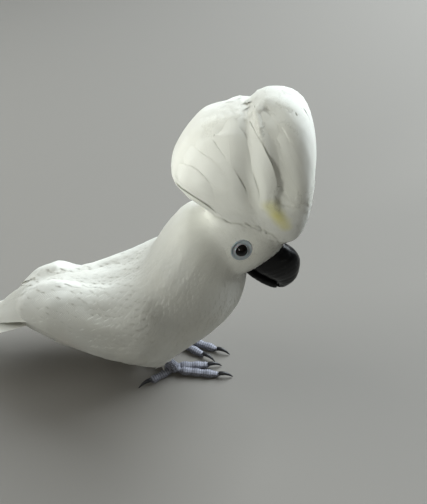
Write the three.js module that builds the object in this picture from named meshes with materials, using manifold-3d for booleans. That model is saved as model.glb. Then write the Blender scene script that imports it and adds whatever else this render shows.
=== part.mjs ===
// White umbrella cockatoo, life size, standing low with its crest fully raised.
// Millimetres, +X towards the bill, +Y to the bird's left, +Z up, floor at Z = 0.
// The bird is drawn with X = 0 between its feet. The whole group is then set so that the
// middle of its bounding box stands over the origin.
import * as THREE from "three";
import { mergeVertices } from "three/addons/utils/BufferGeometryUtils.js";
import Module from "manifold-3d";

const wasm = await Module();
wasm.setup();

// ---- driving dimensions ----
const gap = 0.35; // air left between neighbouring pieces
const headPitch = 18; // degrees that the face is bowed
const eyePoint = [64, 0, 169]; // midway between the eyes, where the head's own plan starts
const eyeBack = 2.4; // how far behind that point the eyes sit
const eyeDepth = 20.8; // from the middle plane to an eyeball's centre
const eyeRadius = 5.8;
const ringDepth = 23; // from the middle plane to the bare ring round an eye
const ringRadius = 11;
const ringThickness = 2.2;
const toeRadius = 3.9;
const clawRadius = 2.2;
const soleCut = 0.7; // how far a toe's round underside is flattened where it rests

const colours = {
  plumage: 0xf1f0ea,
  crest: 0xf6f4e4,
  bill: 0x1d1d20,
  bareSkin: 0xc9d6dc,
  eye: 0x120d0a,
  foot: 0x6f727b,
  claw: 0x24242a,
};

// Rows of the trunk and neck, from the tail's root to inside the head: the back's x and z, the
// belly's x and z, half the width, and how far up from the belly the section is widest.
const bodyRows = [
  [-164, 66, -160, 50, 12, 0.5],
  [-142, 87, -138, 41, 26, 0.5],
  [-106, 103, -104, 27, 38, 0.5],
  [-62, 109, -58, 17, 48, 0.5],
  [-29, 126, -14, 15, 53, 0.48],
  [-17, 143, 23.5, 45.5, 51, 0.5],
  [-8.5, 160, 56, 84.5, 47, 0.5],
  [1.5, 175, 66, 112, 41, 0.5],
  [14, 190.5, 66, 130, 33, 0.5],
  [38, 196, 64, 152, 20, 0.5],
];
const neckPlane = { x: 28, z: 108, tilt: 32 }; // the cut between trunk and neck

// The head and the bill's halves in the head's own plan, in rows of the same kind.
const headRows = [
  [-44, 6, -40, -16, 12, 0.45],
  [-32, 22, -28, -30, 22, 0.45],
  [-14, 31, -10, -37, 26, 0.4],
  [4, 31, 4, -37, 25, 0.36],
  [19, 25, 12, -31, 22, 0.36],
  [30, 13, 15, -25, 16.5, 0.4],
  [37.5, 1, 19, -20, 10, 0.45],
];
const upperBillRows = [
  [30, 2, 8, -27, 11.5, 0.4],
  [43, -2, 20, -33, 12, 0.4],
  [51, -8, 31, -36, 11, 0.42],
  [55.5, -18, 41, -38, 8, 0.45],
  [56, -29, 46.5, -38, 4.6, 0.5],
  [52, -40, 49, -39.5, 1.6, 0.5],
];
const lowerBillRows = [
  [10, -27, 9, -35, 8.5, 0.5],
  [22, -31, 22, -40.5, 9.5, 0.5],
  [33, -34, 35, -45, 8.5, 0.5],
  [41, -37.5, 44.5, -46, 6.5, 0.5],
  [45.5, -41, 48.5, -44, 4.5, 0.5],
];

// The crest's lobes as outlines in the middle plane, with a place inside each that is thickest.
const frontLobe = {
  outline: [
    [98, 165], [110, 177], [114.8, 204], [113, 244], [103, 283],
    [83, 297], [62, 289.5], [57, 252], [62, 214], [66, 188], [78, 172],
  ],
  middle: [88, 246],
  halfThickness: 33,
};
const rearLobe = {
  outline: [
    [82, 180], [74, 225], [62, 284], [46, 284], [26, 275],
    [10, 252], [4, 230], [13, 215], [28, 200], [54, 180],
  ],
  middle: [54, 232],
  halfThickness: 31,
};

// A wing's outline on the trunk: places along the body's rows, and degrees up from the flank.
const rowLength = 40; // about how far apart the body's rows are
const wing = {
  outline: [
    [5.1, -8], [5.05, 20], [4.85, 44], [4.5, 62], [3.9, 74], [3, 73], [2.2, 80],
    [1.5, 82], [1, 64], [0.75, 36], [1, 8], [2, -8], [3.2, -16], [4.4, -18],
  ],
  middle: [3.4, 28],
  halfThickness: 7,
  lift: 1.5,
};

// The folded flight feathers of a wing and the tail, as blades seen from above: how far along
// the blade, and how far across it.
const flightBlade = {
  outline: [[0, 12], [50, 13], [74, 10], [91, 5], [98, 0], [91, -6], [74, -10], [50, -12], [0, -12]],
  middle: [50, 1],
  halfThickness: 2,
  root: [-96, 24, 86],
  tip: [-206, 9, 46],
  bank: 14,
};
const tailBlade = {
  outline: [[0, 18], [45, 22], [90, 28], [118, 32], [131, 26], [136, 0],
    [131, -26], [118, -32], [90, -28], [45, -22], [0, -18]],
  middle: [70, 0],
  halfThickness: 2.6,
  root: [-116, 0, 62],
  tip: [-250, 0, 27],
  sag: 5, // how far the tail's sides hang below its middle
};

// Each foot's pad, and its toes: the heading in degrees from straight ahead, the length from the
// pad without the claw, and how far left of the pad's middle it starts. Two point back.
const feet = {
  right: { side: -1, pad: [0, -21], toes: [[160, 14, 0], [9, 35, 3.2], [1, 46, -2.5], [-142, 27, 0]] },
  left: { side: 1, pad: [-2, 16.5], toes: [[176, 14, 0], [-25, 34, -3], [-16, 44, 3.5], [118, 28, 0]] },
};
const clawLength = 13;

// ---- helpers ----
const radians = THREE.MathUtils.degToRad;
const signed = (value, power) => Math.sign(value) * Math.abs(value) ** power;

// A smooth run through rows of numbers. What it returns takes a place counted in rows.
function runThrough(rows, closed = false) {
  const last = rows.length - 1;
  const row = (i) => rows[closed ? (i + rows.length) % rows.length : THREE.MathUtils.clamp(i, 0, last)];
  return (place) => {
    const i = closed ? Math.floor(place) : Math.min(Math.floor(place), last - 1);
    const s = place - i;
    const [before, from, to, after] = [row(i - 1), row(i), row(i + 1), row(i + 2)];
    return from.map((_, k) => {
      const [leave, arrive] = [(to[k] - before[k]) / 2, (after[k] - from[k]) / 2];
      const rise = to[k] - from[k];
      return from[k] + s * (leave + s * (3 * rise - 2 * leave - arrive + s * (leave + arrive - 2 * rise)));
    });
  };
}

// A three.js geometry as a solid whose faces point out.
function solidOf(geometry) {
  geometry.deleteAttribute("normal");
  geometry.deleteAttribute("uv");
  const { index, attributes } = mergeVertices(geometry, 1e-4);
  const corner = (i) => new THREE.Vector3().fromBufferAttribute(attributes.position, i);
  const triangles = [];
  let volume = 0;
  for (let i = 0; i < index.count; i += 3) {
    const triangle = [0, 1, 2].map((k) => index.getX(i + k));
    if (new Set(triangle).size === 3) {
      const [a, b, c] = triangle.map(corner);
      volume += a.dot(b.cross(c));
      triangles.push(...triangle);
    }
  }
  if (volume < 0) triangles.reverse();
  const vertProperties = attributes.position.array;
  const triVerts = new Uint32Array(triangles);
  return new wasm.Manifold(new wasm.Mesh({ numProp: 3, vertProperties, triVerts }));
}

// A round ball with every point moved. place(along, around) takes the share of the way from
// pole to pole and the angle round the ball.
function ballSolid(around, along, place) {
  const ball = new THREE.SphereGeometry(1, around, along);
  const { position, uv } = ball.attributes;
  for (let i = 0; i < position.count; i++) {
    position.setXYZ(i, ...place(1 - uv.getY(i), uv.getX(i) * 2 * Math.PI));
  }
  return solidOf(ball);
}

// The largest part of a solid that is left outside its neighbours.
function carved(solid, ...neighbours) {
  const rest = neighbours.reduce((left, neighbour) => left.subtract(neighbour), solid);
  return rest.decompose().sort((a, b) => b.volume() - a.volume())[0];
}

// A point on the surface through the rows. The angle goes from the bird's left up to the back.
function onRows(run, place, angle, lift = 0) {
  const [backX, backZ, bellyX, bellyZ, half, widest] = run(place);
  const up = new THREE.Vector3(backX - bellyX, 0, backZ - bellyZ);
  const height = up.length();
  up.normalize();
  const middle = new THREE.Vector3(bellyX, 0, bellyZ).addScaledVector(up, widest * height);
  const reach = height * (Math.sin(angle) > 0 ? 1 - widest : widest);
  const point = middle.clone().addScaledVector(up, signed(Math.sin(angle), 0.92) * (reach + lift));
  point.y = signed(Math.cos(angle), 0.92) * (half + lift);
  return { middle, point };
}

// A body through rows. Its ends are rounded over a share of its length.
function loft(rows, { around = 24, along = 20, grow = 0, round = 0.1 } = {}) {
  const run = runThrough(rows);
  const size = (share) => Math.sqrt(1 - (1 - Math.min(share / round, 1)) ** 2);
  return ballSolid(around, along, (share, angle) => {
    const { middle, point } = onRows(run, share * (rows.length - 1), angle, grow);
    return middle.lerp(point, size(share) * size(1 - share)).toArray();
  });
}

// A lens that fills an outline. put(u, v, lift) sets a point of it in space.
function lens({ outline, middle, halfThickness }, put, { around = 26, along = 8, grow = 0 } = {}) {
  const run = runThrough(outline, true);
  return ballSolid(around, along, (share, angle) => {
    const [u, v] = run((angle / (2 * Math.PI)) * outline.length);
    const spoke = new THREE.Vector2(u - middle[0], v - middle[1]);
    spoke.setLength((spoke.length() + grow) * Math.sin(share * Math.PI) ** 0.8);
    const lift = signed(Math.cos(share * Math.PI), 0.8) * (halfThickness + grow);
    return put(middle[0] + spoke.x, middle[1] + spoke.y, lift);
  });
}

// A round limb through rows of x, y, z and radius.
function limb(rows, { around = 10, along = 10, grow = 0 } = {}) {
  const run = runThrough(rows);
  const last = rows.length - 1;
  const at = (place) => new THREE.Vector3(...run(THREE.MathUtils.clamp(place, 0, last)));
  return ballSolid(around, along, (share, angle) => {
    const place = share * last;
    const heading = at(place + 0.1).sub(at(place - 0.1)).normalize();
    const side = new THREE.Vector3(-heading.y, heading.x, 1e-6).normalize();
    const up = new THREE.Vector3().crossVectors(heading, side);
    const radius = run(place)[3] + grow;
    const isTip = share === 0 || share === 1;
    const size = isTip ? 0 : radius;
    const push = isTip ? 0.6 * radius * Math.sign(share - 0.5) : 0;
    return at(place)
      .addScaledVector(side, Math.cos(angle) * size)
      .addScaledVector(up, Math.sin(angle) * size)
      .addScaledVector(heading, push)
      .toArray();
  });
}

const mirrored = (solid) => solid.mirror([0, 1, 0]);

const floorCut = solidOf(new THREE.BoxGeometry(600, 300, 100).translate(-50, 0, -50));
const cockatoo = new THREE.Group();

function add(name, solid, colour, roughness = 0.8) {
  const { vertProperties, triVerts } = solid.getMesh();
  const geometry = new THREE.BufferGeometry();
  geometry.setAttribute("position", new THREE.BufferAttribute(vertProperties, 3));
  geometry.setIndex(new THREE.BufferAttribute(triVerts, 1));
  geometry.computeVertexNormals();
  const material = new THREE.MeshStandardMaterial({ color: colour, roughness, metalness: 0 });
  const mesh = new THREE.Mesh(geometry, material);
  mesh.name = name;
  cockatoo.add(mesh);
}

// ---- head, bill and eyes ----
const headPlace = new THREE.Matrix4()
  .makeRotationY(radians(headPitch))
  .setPosition(...eyePoint);
const inHead = (solid) => solid.transform(headPlace.elements);

const headSkin = (grow) => inHead(loft(headRows, { around: 18, along: 12, round: 0.2, grow }));
const upperBill = (grow) => inHead(loft(upperBillRows, { around: 12, along: 10, round: 0.06, grow }));
const lowerBill = (grow) => inHead(loft(lowerBillRows, { around: 12, along: 7, round: 0.12, grow }));
const eyeball = (side, grow) => inHead(solidOf(
  new THREE.SphereGeometry(eyeRadius + grow, 12, 6).translate(-eyeBack, side * eyeDepth, 0),
));
const eyeRing = (side, grow) => inHead(solidOf(
  new THREE.SphereGeometry(1, 14, 6)
    .scale(ringRadius + grow, ringThickness + grow, ringRadius * 0.92 + grow)
    .rotateZ(radians(-6 * side))
    .rotateX(radians(8 * side))
    .translate(-eyeBack, side * ringDepth, 0),
));

// ---- crest ----
// The lobes narrow down to the crown's width at their foot.
const crestFoot = { low: 170, high: 240, share: 0.76 };
const inMiddlePlane = (u, v, lift) => {
  const { low, high, share } = crestFoot;
  return [u, lift * (share + (1 - share) * THREE.MathUtils.smoothstep(v, low, high)), v];
};
const crestFront = (grow) => lens(frontLobe, inMiddlePlane, { grow });
const crestRear = (grow) => lens(rearLobe, inMiddlePlane, { grow });

// ---- trunk, wings and tail ----
const bodyRun = runThrough(bodyRows);
const wingOn = (grow) => {
  const { outline, middle, halfThickness, lift } = wing;
  const scaled = ([place, degrees]) => [place * rowLength, degrees];
  const plan = { outline: outline.map(scaled), middle: scaled(middle), halfThickness };
  return lens(plan, (u, v, rise) => {
    const { point } = onRows(bodyRun, u / rowLength, radians(v), rise + lift);
    return point.toArray();
  }, { grow, around: 24, along: 6 });
};

// A blade set from its root to its tip, banked about that line.
function blade({ outline, middle, halfThickness, root, tip, bank = 0, sag = 0 }, grow) {
  const along = new THREE.Vector3(...tip).sub(new THREE.Vector3(...root)).normalize();
  const across = new THREE.Vector3(0, 0, 1).cross(along).normalize().applyAxisAngle(along, radians(bank));
  const up = new THREE.Vector3().crossVectors(along, across);
  return lens({ outline, middle, halfThickness }, (u, v, lift) => new THREE.Vector3(...root)
    .addScaledVector(along, u)
    .addScaledVector(across, v)
    .addScaledVector(up, lift - sag * (v / 30) ** 2)
    .toArray(), { grow, around: 20, along: 4 });
}

const body = loft(bodyRows, { around: 20, along: 18, round: 0.05 });
const tail = (grow) => blade(tailBlade, grow);
const flight = (grow) => blade(flightBlade, grow);

const halfSpace = (above) => solidOf(
  new THREE.BoxGeometry(400, 300, 400)
    .translate(0, 0, (above ? 1 : -1) * (200 + gap / 2))
    .rotateY(radians(neckPlane.tilt))
    .translate(neckPlane.x, 0, neckPlane.z),
);

// ---- legs ----
function legOf(name, { side, pad, toes }) {
  const rest = toeRadius - soleCut;
  const ahead = ([degrees, , offset], distance, z) => {
    const place = new THREE.Vector2(distance, offset).rotateAround(new THREE.Vector2(), radians(degrees));
    return [pad[0] + place.x, pad[1] + place.y, z];
  };
  const thigh = (grow) => limb([
    [-36, side * 28, 64, 20],
    [-26, side * 29, 46, 19],
    [-16, side * 25, 30, 14],
    [pad[0] - 7, pad[1] + side * 3, 19, 8.5],
  ], { around: 12, along: 6, grow });
  const shank = (grow) => limb([
    [pad[0] - 12, pad[1] + side * 5, 34, 5],
    [pad[0] - 6, pad[1] + side * 2, 20, 4.6],
    [pad[0], pad[1], 7, 5.6],
    [pad[0] + 4, pad[1], 4.2, 5.2],
  ], { around: 8, along: 6, grow }).subtract(floorCut);
  const toe = (plan, grow) => limb([
    [...ahead(plan, 2, rest + 1.5), toeRadius],
    [...ahead(plan, plan[1] * 0.4, rest + 0.5), toeRadius * 0.96],
    [...ahead(plan, plan[1] * 0.75, rest), toeRadius],
    [...ahead(plan, plan[1], rest - 0.4), toeRadius * 0.85],
  ], { around: 8, along: 6, grow }).subtract(floorCut);
  const claw = (plan, grow) => limb([
    [...ahead(plan, plan[1] - 1, 5.2), clawRadius],
    [...ahead(plan, plan[1] + clawLength * 0.45, 5.4), clawRadius * 0.85],
    [...ahead(plan, plan[1] + clawLength * 0.8, 3.4), clawRadius * 0.55],
    [...ahead(plan, plan[1] + clawLength, 1), 0.5],
  ], { around: 6, along: 6, grow });
  return { name, thigh, shank, toe, claw, toes };
}
const legs = Object.entries(feet).map(([name, plan]) => legOf(name, plan));

// ---- the pieces, each carved clear of its neighbours ----
const wings = { left: wingOn, right: (grow) => mirrored(wingOn(grow)) };
const flights = { left: flight, right: (grow) => mirrored(flight(grow)) };
const legRoots = legs.flatMap(({ thigh, shank }) => [thigh(gap), shank(gap)]);

const neck = carved(
  body.intersect(halfSpace(true)),
  headSkin(gap), lowerBill(gap), crestRear(gap), wings.left(gap), wings.right(gap),
);
const trunk = carved(
  body.intersect(halfSpace(false)),
  wings.left(gap), wings.right(gap), tail(gap), flights.left(gap), flights.right(gap), ...legRoots,
);
add("trunk", trunk, colours.plumage);
add("neck", neck, colours.plumage);

const eyeSides = { left: 1, right: -1 };
add("head", carved(
  headSkin(0), upperBill(gap), lowerBill(gap),
  ...Object.values(eyeSides).flatMap((side) => [eyeball(side, gap), eyeRing(side, gap)]),
  crestFront(gap), crestRear(gap),
), colours.plumage);
add("bill_upper", upperBill(0), colours.bill, 0.45);
add("bill_lower", carved(lowerBill(0), upperBill(gap)), colours.bill, 0.45);
for (const [name, side] of Object.entries(eyeSides)) {
  add(`eye_${name}`, eyeball(side, 0), colours.eye, 0.1);
  add(`eye_ring_${name}`, carved(eyeRing(side, 0), eyeball(side, gap)), colours.bareSkin, 0.6);
}
add("crest_front", carved(crestFront(0), crestRear(gap)), colours.crest);
add("crest_rear", crestRear(0), colours.crest);

for (const [name, wingOf] of Object.entries(wings)) {
  add(`wing_${name}`, carved(wingOf(0), tail(gap)), colours.plumage);
  add(`flight_${name}`, carved(flights[name](0), wingOf(gap), tail(gap)), colours.plumage);
}
add("tail", tail(0), colours.plumage);

for (const { name, thigh, shank, toe, claw, toes } of legs) {
  add(`thigh_${name}`, carved(thigh(0), shank(gap), wings[name](gap)), colours.plumage);
  add(`shank_${name}`, shank(0), colours.foot, 0.7);
  toes.forEach((plan, i) => {
    const earlier = toes.slice(0, i).map((other) => toe(other, gap));
    const clear = carved(toe(plan, 0), shank(gap), claw(plan, gap), ...earlier);
    add(`toe_${name}_${i + 1}`, clear, colours.foot, 0.7);
    add(`claw_${name}_${i + 1}`, claw(plan, 0), colours.claw, 0.35);
  });
}

// ---- the origin under the middle of the bounding box ----
const box = new THREE.Box3().setFromObject(cockatoo);
const middle = box.getCenter(new THREE.Vector3());
cockatoo.position.set(-middle.x, -middle.y, -box.min.z);
cockatoo.updateMatrixWorld(true);

export default cockatoo;
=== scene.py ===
import bpy
import bmesh
import random
import time
import numpy as np
from math import atan2, copysign, cos, exp, hypot, pi, radians, sin, sqrt
from mathutils import Vector, Matrix, kdtree, noise
from mathutils.bvhtree import BVHTree


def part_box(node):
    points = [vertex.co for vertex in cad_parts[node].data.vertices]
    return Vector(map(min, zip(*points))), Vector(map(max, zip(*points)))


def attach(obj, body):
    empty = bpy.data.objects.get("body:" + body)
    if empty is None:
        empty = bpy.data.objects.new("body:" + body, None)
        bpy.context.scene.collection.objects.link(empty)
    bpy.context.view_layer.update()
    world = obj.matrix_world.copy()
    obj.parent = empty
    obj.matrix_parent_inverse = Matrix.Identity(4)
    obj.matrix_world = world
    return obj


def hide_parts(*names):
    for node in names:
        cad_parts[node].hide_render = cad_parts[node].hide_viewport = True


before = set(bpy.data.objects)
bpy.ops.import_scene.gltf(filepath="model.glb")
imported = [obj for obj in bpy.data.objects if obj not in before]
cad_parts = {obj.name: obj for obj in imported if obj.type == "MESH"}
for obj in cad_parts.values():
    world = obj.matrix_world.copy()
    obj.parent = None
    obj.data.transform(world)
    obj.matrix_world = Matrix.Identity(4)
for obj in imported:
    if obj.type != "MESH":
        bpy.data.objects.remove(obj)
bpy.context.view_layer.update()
startTime = time.time()
mm = 0.001


def report(words):
    print(f"{time.time() - startTime:6.1f} s  {words}")


def boxCentre(*names):
    corners = [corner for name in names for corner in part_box(name)]
    return sum(corners, Vector()) / len(corners)


# The bird's own plan is in millimetres from the floor between its feet, +X towards the bill.
# The point midway between its eyes has a known place there, which ties the plan to the frame.
planOrigin = boxCentre("eye_left", "eye_right") - Vector((61.72, 0, 169.74)) * mm


def at(x, y, z):
    return planOrigin + Vector((x, y, z)) * mm


def inPlan(spot):
    return (spot - planOrigin) / mm


headPlace = Matrix.Translation(at(64, 0, 169)) @ Matrix.Rotation(radians(18), 4, "Y")


def inHead(x, y, z):
    return headPlace @ (Vector((x, y, z)) * mm)


def ease(value, low, high):
    share = max(0.0, min(1.0, (value - low) / (high - low)))
    return share * share * (3 - 2 * share)


def signed(value, power):
    return copysign(abs(value) ** power, value)


def addObject(name, data):
    holder = bpy.data.objects.new(name, data)
    bpy.context.scene.collection.objects.link(holder)
    return holder


# camera, held over the bird at about table height
camera = {
    "spot": (74, -349.5, 462),
    "pitch": 42,       # degrees down
    "heading": 6,      # degrees round from square to the bird
    "sensor": 36,
    "lens": 39.64,
    "clip": 0.01,
}


def makeCamera():
    data = bpy.data.cameras.new("camera")
    data.sensor_width = camera["sensor"]
    data.lens = camera["lens"]
    data.clip_start = camera["clip"]
    holder = addObject("camera", data)
    holder.location = at(*camera["spot"])
    holder.rotation_euler = (radians(90 - camera["pitch"]), 0, radians(camera["heading"]))
    bpy.context.scene.camera = holder


makeCamera()


def asMesh(bm, name):
    mesh = bpy.data.meshes.new(name)
    bm.to_mesh(mesh)
    bm.free()
    return mesh


def addPiece(name, shape, material, slot, *replaced):
    mesh = asMesh(shape, name) if isinstance(shape, bmesh.types.BMesh) else shape
    piece = addObject(name, mesh)
    mesh.materials.clear()
    mesh.materials.append(material)
    mesh.polygons.foreach_set("use_smooth", [True] * len(mesh.polygons))
    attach(piece, "root")
    if replaced:
        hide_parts(*replaced)


def nodeCopies(names, swell):
    # The CAD nodes' triangles are loose, so their corners are merged first.
    joined = bmesh.new()
    for name in names:
        part = bmesh.new()
        part.from_mesh(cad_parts[name].data)
        bmesh.ops.remove_doubles(part, verts=part.verts, dist=1e-6)
        part.normal_update()
        for v in part.verts:
            v.co += v.normal * swell
        mesh = asMesh(part, "copy")
        joined.from_mesh(mesh)
        bpy.data.meshes.remove(mesh)
    return joined


def smooth(bm, verts, passes):
    for _ in range(passes):
        bmesh.ops.smooth_vert(bm, verts=verts, factor=0.5, use_axis_x=True, use_axis_y=True, use_axis_z=True)
    bm.normal_update()


def melted(names, voxel, smoothing, swell=0.0004, inset=None):
    # One closed surface round the named nodes, smoothed, and drawn in by a depth.
    holder = addObject("melted", asMesh(nodeCopies(names, swell), "melted"))
    remesh = holder.modifiers.new("remesh", "REMESH")
    remesh.mode = "VOXEL"
    remesh.voxel_size = voxel
    softening = holder.modifiers.new("soften", "SMOOTH")
    softening.factor = 0.5
    softening.iterations = smoothing
    shaped = bpy.data.meshes.new_from_object(holder.evaluated_get(bpy.context.evaluated_depsgraph_get()))
    bpy.data.objects.remove(holder)
    result = bmesh.new()
    result.from_mesh(shaped)
    bpy.data.meshes.remove(shaped)
    result.normal_update()
    if inset:
        for v in result.verts:
            v.co -= v.normal * inset(v.co)
        smooth(result, result.verts, 3)
    return result


def wovenShape(rings, poles=()):
    # One closed surface over rings of spots, which are joined end to end unless there are poles.
    bm = bmesh.new()
    rings = [[bm.verts.new(spot) for spot in ring] for ring in rings]
    for ring, after in zip(rings, rings[1:] if poles else rings[1:] + rings[:1]):
        for i in range(len(ring)):
            bm.faces.new((ring[i - 1], ring[i], after[i], after[i - 1]))
    for pole, ring in zip(poles, (rings[0], rings[-1])):
        tip = bm.verts.new(pole)
        for i in range(len(ring)):
            bm.faces.new((ring[i - 1], ring[i], tip))
    bm.normal_update()
    bmesh.ops.recalc_face_normals(bm, faces=bm.faces)
    if bm.calc_volume(signed=True) < 0:
        bmesh.ops.reverse_faces(bm, faces=bm.faces)
    return bm


def ballShape(around, along, place):
    # place takes the share of the way from pole to pole and the angle round it
    rings = [[place(j / along, 2 * pi * i / around) for i in range(around)] for j in range(1, along)]
    return wovenShape(rings, (place(0, 0), place(1, 0)))


def runThrough(rows):
    # A smooth run through rows of numbers. What it returns takes a place counted in rows.
    rows = np.array(rows, float)
    last = len(rows) - 1

    def row(place):
        i = max(0, min(int(place), last - 1))
        s = place - i
        before, start, end, after = (rows[max(0, min(k, last))] for k in (i - 1, i, i + 1, i + 2))
        leave, arrive, rise = (end - before) / 2, (after - start) / 2, end - start
        return start + s * (leave + s * (3 * rise - 2 * leave - arrive + s * (leave + arrive - 2 * rise)))
    return row


def treeOf(spots):
    tree = kdtree.KDTree(len(spots))
    for i, spot in enumerate(spots):
        tree.insert(spot, i)
    tree.balance()
    return tree


# the lie of the plumage: a line through the bird from bill to tail, which the feathers follow
spineInPlan = [(104, 148), (88, 158), (66, 165), (46, 158), (33, 138), (22, 112), (6, 88),
               (-22, 73), (-60, 67), (-104, 67), (-150, 64), (-210, 48)]
spineRun = runThrough(spineInPlan)
spine = [at(x, 0, z) for x, z in (spineRun(i / 12) for i in range(12 * len(spineInPlan) - 11))]
spineTree = treeOf(spine)
spineSteps = [0.0]
for a, b in zip(spine, spine[1:]):
    spineSteps.append(spineSteps[-1] + (b - a).length / mm)


def nearestOnSpine(spot):
    return spineTree.find(Vector((spot.x, planOrigin.y, spot.z)))


def alongSpine(spot):
    # how far the spot is from the bill, in millimetres along the spine
    return spineSteps[nearestOnSpine(spot)[1]]


# skin
fleshNodes = ["trunk", "neck", "head", "thigh_left", "thigh_right", "wing_left", "wing_right"]
crestNodes = ["crest_front", "crest_rear"]
eyeNodes = ["eye_left", "eye_right", "eye_ring_left", "eye_ring_right"]
coat = {
    "voxel": 1.6 * mm,
    "faceDepth": 1.0,
    "bodyDepth": 2.0,
    "crestDepth": 1.7,
    "finest": 0.9 * mm,         # how close together roots are tried
    "eyeClear": 8.4,            # how far they keep from the eyes
    "quillLength": 30,          # wing feathers longer than this are plumes
    "trunkEnd": 164,            # none reaches far past this, behind the origin
    "backEnd": -146,            # none of the back's starts behind this
    "thick": 0.08 * mm,
    "sizes": (0.86, 1.14),
    "turns": (-8, 8),
    "heights": (0.82, 0.9),     # shares of the depth
    "shades": (0.92, 1.0),
    "bends": (0.45, 0.2),       # least agreement of the normals along a vane, and across it
    "shortened": (0.35, 0.6),   # length and width where the skin bends more
    "crestRises": (0, 0.08, 0.14),
    "crownHeight": 0.45,
}


def finderOf(names):
    # a tree over the nodes' faces, and the name of the node that each face is from
    owners, corners, faces = [], [], []
    for name in names:
        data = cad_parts[name].data
        for polygon in data.polygons:
            faces.append(list(range(len(corners), len(corners) + len(polygon.vertices))))
            corners.extend(data.vertices[k].co for k in polygon.vertices)
            owners.append(name)
    return BVHTree.FromPolygons(corners, faces), owners


nodeTree, nodeOwners = finderOf(fleshNodes + crestNodes)
crestTree, crestOwners = finderOf(crestNodes)


def nodeUnder(spot):
    return nodeOwners[nodeTree.find_nearest(spot)[2]]


def crestShare(spot):
    # 1 on the crest and fading to 0 over the crown round it
    distance = crestTree.find_nearest(spot)[3] / mm
    x, _, z = inPlan(spot)
    return (1 - ease(distance, 3, 15)) * ease(x, 26, 44) * ease(z, 160, 176)


def coatDepth(spot):
    body = coat["faceDepth"] + (coat["bodyDepth"] - coat["faceDepth"]) * ease(alongSpine(spot), 20, 100)
    share = crestShare(spot) if inPlan(spot).z > 180 else 0
    return (body + (coat["crestDepth"] - body) * share) * mm


skinShape = melted(fleshNodes + crestNodes + eyeNodes, coat["voxel"], 12, inset=coatDepth)


# Parts of the skin that are smoothed: x and z in the plan, the least y, and the passes.
crestFoot = [
    ((20, 116), (170, 216), 0, 14),
    ((20, 116), (176, 208), 0, 22),
    ((20, 50), (180, 212), 0, 30),
]
shoulders = [((-52, 26), (44, 136), 10, 60)]


def soften(bm, boxes):
    # lets the crest's foot run into the crown, or the wings' front edges into the breast and neck
    for (back, front), (low, high), out, passes in boxes:
        verts = []
        for v in bm.verts:
            x, y, z = inPlan(v.co)
            clear = (v.co - headPlace.translation).length > 14 * mm
            if back < x < front and low < z < high and abs(y) >= out and clear:
                verts.append(v)
        smooth(bm, verts, passes)


# The far wing falls away from the back here: x in the plan, and how high its slope starts.
farSlope = np.array([
    (-116, 124), (-108, 117), (-97, 114.5), (-85, 119), (-74, 126), (-50, 141), (-30, 158),
])
farFall = 0.9    # the slope's steepness


def lowerFarWing(bm):
    moved = []
    for v in bm.verts:
        x, y, z = inPlan(v.co)
        if y < 2 or z < 70 or not -116 < x < -30:
            continue
        over = z - (np.interp(x, farSlope[:, 0], farSlope[:, 1]) - farFall * y - coat["bodyDepth"])
        if over > -4:
            v.co.z -= 0.5 * (over + sqrt(over * over + 9)) * ease(y, 2, 8) * mm
            moved.append(v)
    smooth(bm, moved, 8)


soften(skinShape, crestFoot)
lowerFarWing(skinShape)
soften(skinShape, shoulders)

# the crest's seam from the side, x and z in the plan, and how deep the fold along it is
seam = [(92, 205), (86, 221), (84, 241), (77.5, 264), (68, 287)]
foldDepth = 4.6


def foldSeam(bm):
    # the front lobe dips where it goes in under the rear one
    line = [Vector(runThrough(seam)(i / 10)) for i in range(41)]
    for v in bm.verts:
        x, y, z = inPlan(v.co)
        if z < 196 or not 50 < x < 108 or abs(y) < 8:
            continue
        flat = Vector((x, z))
        nearest = min(line, key=lambda spot: (spot - flat).length_squared)
        ahead = x - nearest.x
        dip = foldDepth * ease(ahead, -2, 3) * (1 - ease(ahead, 4, 24))
        dip = dip * ease(z, 200, 220) * ease(abs(y), 8, 18)
        v.co -= v.normal * dip * mm
    bm.normal_update()


sides = {"left": 1, "right": -1}
eyeBack, eyeDepth = 2.4, 20.4    # an eyeball's centre in the head's own plan
# the room for the lids: how deep it is, the radii between which it ends, and how far it looks up
hollow = {"depth": 3.4, "radii": (5.4, 7.9), "tilt": 0.26, "within": 16}


def hollowEyes(bm):
    for side in (-1, 1):
        axis = headPlace.to_3x3() @ Vector((0, side * cos(hollow["tilt"]), sin(hollow["tilt"])))
        centre = inHead(-eyeBack, side * eyeDepth, 0)
        for v in bm.verts:
            away = v.co - centre
            if away.length > hollow["within"] * mm or away.dot(axis) < 0:
                continue
            radius = (away - axis * away.dot(axis)).length / mm
            v.co -= axis * hollow["depth"] * (1 - ease(radius, *hollow["radii"])) * mm
    bm.normal_update()


foldSeam(skinShape)
hollowEyes(skinShape)
skinTree = BVHTree.FromBMesh(skinShape)
report(f"skin shaped, {len(skinShape.faces)} faces")

eyeSpots = {side: inHead(-eyeBack, side * 24.3, 0) for side in (-1, 1)}
# The front lobe's feathers run over it like the lines from pole to pole on a globe that leans
# back, and the rear lobe's fan out from the forehead, seen from the side.
globe = {"centre": (86, 0, 242), "lean": radians(27.5), "radius": 33}
globeTop = Vector((-sin(globe["lean"]), 0, cos(globe["lean"])))
globeAhead = Vector((cos(globe["lean"]), 0, sin(globe["lean"])))
fanSource = (92, 162)


def lieFront(spot):
    away = (spot - at(*globe["centre"])).normalized()
    return (globeTop - away * globeTop.dot(away)).normalized()


def lieRear(spot):
    x, y, z = inPlan(spot)
    fan = Vector((x - fanSource[0], 0, z - fanSource[1])).normalized()
    rim = (1 - ease(abs(y), 6, 18)) * (1 - ease(x, 30, 60))
    return (fan + Vector((-0.1, 0, 1.2)) * rim).normalized()


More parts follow.
